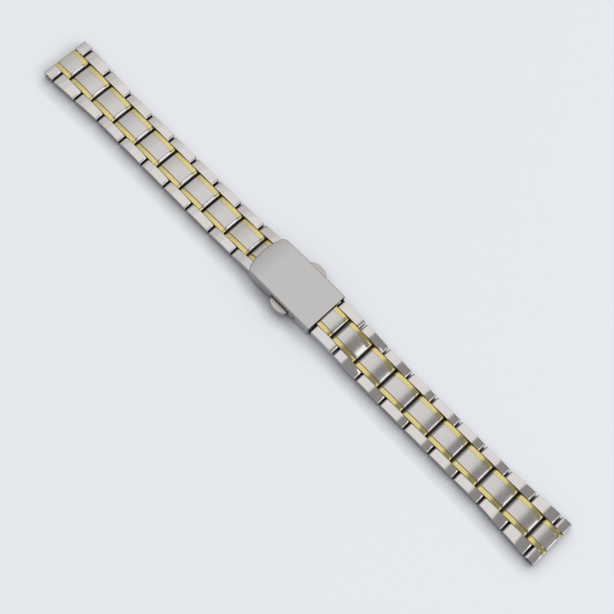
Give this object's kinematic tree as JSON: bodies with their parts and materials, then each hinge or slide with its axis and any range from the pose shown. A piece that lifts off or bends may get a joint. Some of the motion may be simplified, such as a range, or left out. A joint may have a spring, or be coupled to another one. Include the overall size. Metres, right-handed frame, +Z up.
{
  "type": "link watch bracelet",
  "caption": "Two-tone metal watch bracelet of hinged links with flared straight ends and a folding push-button clasp, closed and laid straight.",
  "frame": {"origin": "on the table under the middle of the clasp, at the bottom centre of the bounding box", "axes": "+X along the bracelet towards the half held in the cover, +Y across it, +Z up out of the table"},
  "size_m": [0.178, 0.0168, 0.0055],
  "materials": {
    "cover_steel": "satin brushed lengthwise",
    "blade_steel": "satin",
    "button_steel": "satin",
    "link_steel": "satin brushed with polished ends",
    "pin_steel": "plain",
    "spring_steel": "drawn wire",
    "gold_trim": "polished gold plate"
  },
  "bodies": {
    "wrist_blade": {"wrist_blade": "blade_steel", "blade_hinge_pin": "pin_steel", "blade_end_pin": "pin_steel", "near_catch_block": "blade_steel", "far_catch_block": "blade_steel", "catch_rivets": "pin_steel", "near_button_spring": "spring_steel", "far_button_spring": "spring_steel"},
    "middle_blade": {"middle_blade": "blade_steel"},
    "cover": {"clasp_cover": "cover_steel", "cover_hinge_pin": "pin_steel", "adjust_spring_bar": "pin_steel", "adjust_bar_spring": "spring_steel"},
    "near_button": {"near_push_button": "button_steel"},
    "far_button": {"far_push_button": "button_steel"},
    "blade_side_1": {"blade_side_link_1": "link_steel", "blade_side_trims_1": "gold_trim"},
    "blade_side_2": {"blade_side_link_2": "link_steel", "blade_side_trims_2": "gold_trim"},
    "blade_side_3": {"blade_side_link_3": "link_steel", "blade_side_trims_3": "gold_trim"},
    "blade_side_4": {"blade_side_link_4": "link_steel", "blade_side_trims_4": "gold_trim"},
    "blade_side_5": {"blade_side_link_5": "link_steel", "blade_side_trims_5": "gold_trim"},
    "blade_side_6": {"blade_side_link_6": "link_steel", "blade_side_trims_6": "gold_trim"},
    "blade_side_7": {"blade_side_link_7": "link_steel", "blade_side_trims_7": "gold_trim"},
    "blade_side_8": {"blade_side_link_8": "link_steel", "blade_side_trims_8": "gold_trim"},
    "blade_side_9": {"blade_side_link_9": "link_steel", "blade_side_trims_9": "gold_trim"},
    "blade_side_end": {"blade_side_end_link": "link_steel", "blade_side_end_trims": "gold_trim"},
    "cover_side_1": {"cover_side_link_1": "link_steel", "cover_side_trims_1": "gold_trim"},
    "cover_side_2": {"cover_side_link_2": "link_steel", "cover_side_trims_2": "gold_trim"},
    "cover_side_3": {"cover_side_link_3": "link_steel", "cover_side_trims_3": "gold_trim"},
    "cover_side_4": {"cover_side_link_4": "link_steel", "cover_side_trims_4": "gold_trim"},
    "cover_side_5": {"cover_side_link_5": "link_steel", "cover_side_trims_5": "gold_trim"},
    "cover_side_6": {"cover_side_link_6": "link_steel", "cover_side_trims_6": "gold_trim"},
    "cover_side_7": {"cover_side_link_7": "link_steel", "cover_side_trims_7": "gold_trim"},
    "cover_side_8": {"cover_side_link_8": "link_steel", "cover_side_trims_8": "gold_trim"},
    "cover_side_9": {"cover_side_link_9": "link_steel", "cover_side_trims_9": "gold_trim"},
    "cover_side_end": {"cover_side_end_link": "link_steel", "cover_side_end_trims": "gold_trim"}
  },
  "joints": [
    {"name": "blade_hinge", "type": "hinge", "parent": "wrist_blade", "child": "middle_blade", "pos_m": [0.006, 0, 0.001], "axis": [0, 1, 0], "range_deg": [0, 165]},
    {"name": "cover_hinge", "type": "hinge", "parent": "middle_blade", "child": "cover", "pos_m": [-0.00555, 0, 0.0019], "axis": [0, -1, 0], "range_deg": [0, 165]},
    {"name": "near_button_press", "type": "slide", "parent": "wrist_blade", "child": "near_button", "axis": [0, 1, 0], "range_m": [0, 0.0006], "stiffness_N_per_m": 300, "springref_m": -0.0003, "deforming": ["near_button_spring"]},
    {"name": "far_button_press", "type": "slide", "parent": "wrist_blade", "child": "far_button", "axis": [0, -1, 0], "range_m": [0, 0.0006], "stiffness_N_per_m": 300, "springref_m": -0.0003, "deforming": ["far_button_spring"]},
    {"name": "blade_side_1_hinge", "type": "hinge", "parent": "wrist_blade", "child": "blade_side_1", "pos_m": [-0.0083, 0, 0.0033], "axis": [0, -1, 0], "range_deg": [-2, 13.19]},
    {"name": "blade_side_2_hinge", "type": "hinge", "parent": "blade_side_1", "child": "blade_side_2", "pos_m": [-0.0167, 0, 0.002], "axis": [0, -1, 0], "range_deg": [-5.96, 26.04]},
    {"name": "blade_side_3_hinge", "type": "hinge", "parent": "blade_side_2", "child": "blade_side_3", "pos_m": [-0.02517, 0, 0.00129], "axis": [0, -1, 0], "range_deg": [-5.78, 26.22]},
    {"name": "blade_side_4_hinge", "type": "hinge", "parent": "blade_side_3", "child": "blade_side_4", "pos_m": [-0.03367, 0, 0.00121], "axis": [0, -1, 0], "range_deg": [-9.52, 22.48]},
    {"name": "blade_side_5_hinge", "type": "hinge", "parent": "blade_side_4", "child": "blade_side_5", "pos_m": [-0.04217, 0, 0.0012], "axis": [0, -1, 0], "range_deg": [-9.95, 22.05]},
    {"name": "blade_side_6_hinge", "type": "hinge", "parent": "blade_side_5", "child": "blade_side_6", "pos_m": [-0.05067, 0, 0.0012], "axis": [0, -1, 0], "range_deg": [-9.99, 22.01]},
    {"name": "blade_side_7_hinge", "type": "hinge", "parent": "blade_side_6", "child": "blade_side_7", "pos_m": [-0.05917, 0, 0.0012], "axis": [0, -1, 0], "range_deg": [-10, 22]},
    {"name": "blade_side_8_hinge", "type": "hinge", "parent": "blade_side_7", "child": "blade_side_8", "pos_m": [-0.06767, 0, 0.0012], "axis": [0, -1, 0], "range_deg": [-10, 22]},
    {"name": "blade_side_9_hinge", "type": "hinge", "parent": "blade_side_8", "child": "blade_side_9", "pos_m": [-0.07617, 0, 0.0012], "axis": [0, -1, 0], "range_deg": [-10, 22]},
    {"name": "blade_side_end_hinge", "type": "hinge", "parent": "blade_side_9", "child": "blade_side_end", "pos_m": [-0.08437, 0, 0.0012], "axis": [0, -1, 0], "range_deg": [-10, 22]},
    {"name": "cover_side_1_hinge", "type": "hinge", "parent": "cover", "child": "cover_side_1", "pos_m": [0.0083, 0, 0.0033], "axis": [0, 1, 0], "range_deg": [-10, 22]},
    {"name": "cover_side_2_hinge", "type": "hinge", "parent": "cover_side_1", "child": "cover_side_2", "pos_m": [0.0168, 0, 0.0033], "axis": [0, 1, 0], "range_deg": [-18.81, 13.19]},
    {"name": "cover_side_3_hinge", "type": "hinge", "parent": "cover_side_2", "child": "cover_side_3", "pos_m": [0.0252, 0, 0.002], "axis": [0, 1, 0], "range_deg": [-5.96, 26.04]},
    {"name": "cover_side_4_hinge", "type": "hinge", "parent": "cover_side_3", "child": "cover_side_4", "pos_m": [0.03367, 0, 0.00129], "axis": [0, 1, 0], "range_deg": [-5.78, 26.22]},
    {"name": "cover_side_5_hinge", "type": "hinge", "parent": "cover_side_4", "child": "cover_side_5", "pos_m": [0.04217, 0, 0.00121], "axis": [0, 1, 0], "range_deg": [-9.52, 22.48]},
    {"name": "cover_side_6_hinge", "type": "hinge", "parent": "cover_side_5", "child": "cover_side_6", "pos_m": [0.05067, 0, 0.0012], "axis": [0, 1, 0], "range_deg": [-9.95, 22.05]},
    {"name": "cover_side_7_hinge", "type": "hinge", "parent": "cover_side_6", "child": "cover_side_7", "pos_m": [0.05917, 0, 0.0012], "axis": [0, 1, 0], "range_deg": [-9.99, 22.01]},
    {"name": "cover_side_8_hinge", "type": "hinge", "parent": "cover_side_7", "child": "cover_side_8", "pos_m": [0.06767, 0, 0.0012], "axis": [0, 1, 0], "range_deg": [-10, 22]},
    {"name": "cover_side_9_hinge", "type": "hinge", "parent": "cover_side_8", "child": "cover_side_9", "pos_m": [0.07617, 0, 0.0012], "axis": [0, 1, 0], "range_deg": [-10, 22]},
    {"name": "cover_side_end_hinge", "type": "hinge", "parent": "cover_side_9", "child": "cover_side_end", "pos_m": [0.08437, 0, 0.0012], "axis": [0, 1, 0], "range_deg": [-10, 22]}
  ],
  "couplings": [
    {"joint": "cover_hinge", "follows": "blade_hinge", "ratio": 1}
  ]
}
